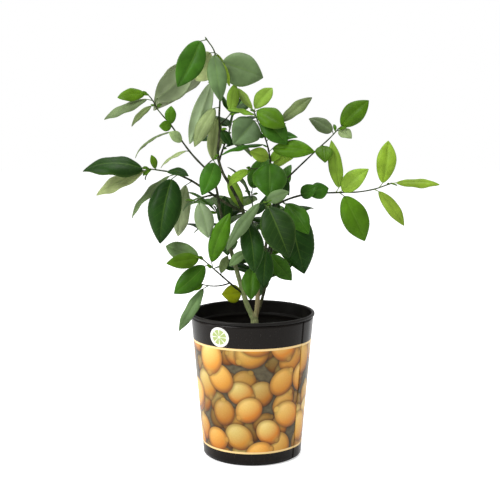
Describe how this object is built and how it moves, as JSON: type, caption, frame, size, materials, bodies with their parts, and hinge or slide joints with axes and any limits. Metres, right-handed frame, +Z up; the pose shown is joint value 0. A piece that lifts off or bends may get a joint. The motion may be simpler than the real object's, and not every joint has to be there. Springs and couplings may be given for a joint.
{
  "type": "potted young lemon tree",
  "caption": "Young lemon tree with slender forked stems and glossy oval leaves, in a tapered black nursery pot with a printed wrap",
  "frame": {"origin": "middle of the pot's flat underside", "axes": "+Z up along the pot and the trunk, +X to the right and -Y to the front, as the picture shows the plant"},
  "size_m": [0.4701, 0.2432, 0.5524],
  "materials": {
    "pot": "black injection-moulded plastic with a soft sheen",
    "wrap": "printed plastic film, black bands with golden lines round a print of citrus fruit",
    "soil": "dark moist potting mix with bark chips",
    "bark": "green young bark, tan and finely fissured low on the trunk",
    "leaves": "glossy leaves, paler and duller below, with fine green twigs"
  },
  "bodies": {
    "root": {"pot": "pot", "pot_wrap": "wrap", "soil": "soil", "trunk": "bark", "left_stem": "bark", "centre_stem": "bark", "right_stem": "bark", "inner_stem": "bark", "leader": "bark", "left_bough": "bark", "foliage_top": "leaves", "foliage_upper_left": "leaves", "foliage_left": "leaves", "foliage_mid_left": "leaves", "foliage_low_left": "leaves", "foliage_centre_top": "leaves", "foliage_upper_right": "leaves", "foliage_right": "leaves", "foliage_front": "leaves", "foliage_front_low": "leaves", "foliage_back_left": "leaves", "foliage_back": "leaves", "foliage_back_right": "leaves", "foliage_back_low": "leaves", "foliage_back_top": "leaves"}
  },
  "joints": []
}
